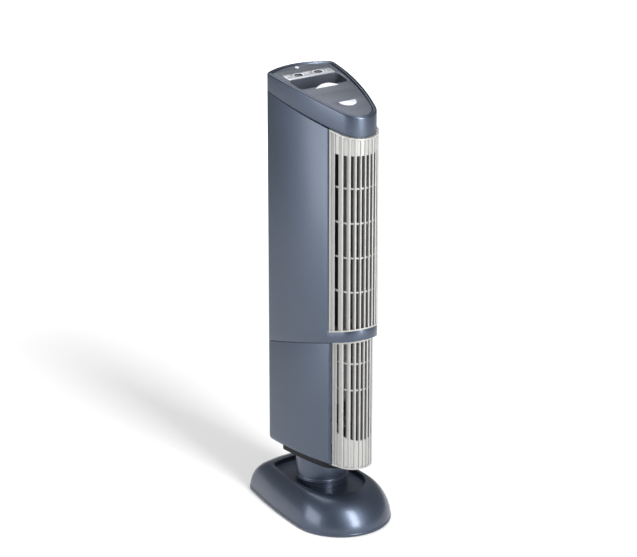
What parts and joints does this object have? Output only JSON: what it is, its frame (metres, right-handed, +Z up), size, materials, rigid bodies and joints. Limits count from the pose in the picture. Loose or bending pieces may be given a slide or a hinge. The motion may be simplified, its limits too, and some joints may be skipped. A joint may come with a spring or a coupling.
{
  "type": "tower fan",
  "caption": "Slim floor-standing tower fan on a swivelling round neck, with slatted nose grilles, an inclined top with push buttons, and a collector cell that lifts out by a finger lip.",
  "frame": {"origin": "on the floor under the middle of the base, on the swivel axis", "axes": "+Z up, the nose with its grilles towards -Y, so +X is to the right of a viewer who faces the nose"},
  "size_m": [0.1616, 0.2692, 0.7182],
  "materials": {
    "housing_blue": "metallic slate blue, satin gloss",
    "top_plate": "fine satin grey blue",
    "grille_silver": "silver paint, satin",
    "label_silver": "brushed silver film",
    "lip_silver": "satin chrome",
    "white_lens": "frosted white",
    "button_black": "gloss",
    "inner_plastic": "moulded",
    "impeller_plastic": "glass-filled",
    "black_plastic": "moulded",
    "circuit_board": "solder mask",
    "steel": "satin",
    "brass": "bright",
    "acetal_white": "natural",
    "rubber": "matt"
  },
  "bodies": {
    "base": {"base_shell": "housing_blue", "base_bottom_plate": "black_plastic", "ballast_plate": "steel", "rubber_feet": "rubber", "base_screws": "steel", "thrust_washer": "acetal_white", "swivel_motor": "steel", "swivel_motor_screws": "brass"},
    "pinion": {"drive_pinion": "acetal_white"},
    "tower": {"neck": "housing_blue", "neck_gear": "acetal_white", "neck_gear_screws": "steel", "neck_flange_screws": "steel", "tower_plinth": "black_plastic", "lower_housing": "housing_blue", "upper_housing": "housing_blue", "head_shell": "housing_blue", "head_screws": "steel", "upper_grille": "grille_silver", "lower_grille": "grille_silver", "rear_intake_grille": "housing_blue", "rear_lower_grille": "housing_blue", "rear_grille_screws": "steel", "power_inlet": "black_plastic", "inlet_pins": "brass", "control_deck": "top_plate", "control_label": "label_silver", "indicator_lens": "white_lens", "control_board": "circuit_board", "tact_switches": "black_plastic", "high_voltage_module": "black_plastic", "power_board": "circuit_board", "lower_bulkhead": "inner_plastic", "upper_bulkhead": "inner_plastic", "top_bearing": "brass", "scroll_wall": "inner_plastic", "tongue_wall": "inner_plastic", "cell_guides": "inner_plastic", "cell_contacts": "brass", "ioniser_frame": "inner_plastic", "ioniser_wires": "steel", "fan_motor": "steel", "motor_bracket": "steel", "motor_bushes": "rubber", "motor_screws": "steel"},
    "fan": {"impeller": "impeller_plastic", "impeller_shaft": "steel", "impeller_hub": "rubber"},
    "cell": {"cell_top_plate": "top_plate", "grip_lip": "lip_silver", "cell_head": "inner_plastic", "moon_switch": "black_plastic", "collector_plates": "steel", "cell_rails": "inner_plastic", "cell_foot": "inner_plastic"},
    "left_button": {"left_button": "button_black"},
    "right_button": {"right_button": "button_black"},
    "half_moon_button": {"half_moon_button": "white_lens"}
  },
  "joints": [
    {"name": "swivel", "type": "hinge", "parent": "base", "child": "tower", "pos_m": [0, 0, 0.047], "axis": [0, 0, 1], "range_deg": [-35, 35]},
    {"name": "pinion_spin", "type": "hinge", "parent": "base", "child": "pinion", "pos_m": [0, 0.0391, 0.03], "axis": [0, 0, 1], "range_deg": [-120, 120]},
    {"name": "fan_spin", "type": "hinge", "parent": "tower", "child": "fan", "pos_m": [0, -0.02, 0.4], "axis": [0, 0, 1], "continuous": true},
    {"name": "cell_lift", "type": "slide", "parent": "tower", "child": "cell", "axis": [0, 0, 1], "range_m": [0, 0.36]},
    {"name": "left_button_press", "type": "slide", "parent": "tower", "child": "left_button", "axis": [0, 0.1638, -0.9865], "range_m": [0, 0.0012], "stiffness_N_per_m": 400, "springref_m": -0.0006},
    {"name": "right_button_press", "type": "slide", "parent": "tower", "child": "right_button", "axis": [0, 0.1638, -0.9865], "range_m": [0, 0.0012], "stiffness_N_per_m": 400, "springref_m": -0.0006},
    {"name": "half_moon_button_press", "type": "slide", "parent": "cell", "child": "half_moon_button", "axis": [0, 0.1638, -0.9865], "range_m": [0, 0.0015], "stiffness_N_per_m": 500, "springref_m": -0.0006}
  ],
  "couplings": [
    {"joint": "pinion_spin", "follows": "swivel", "ratio": -3.3333}
  ]
}
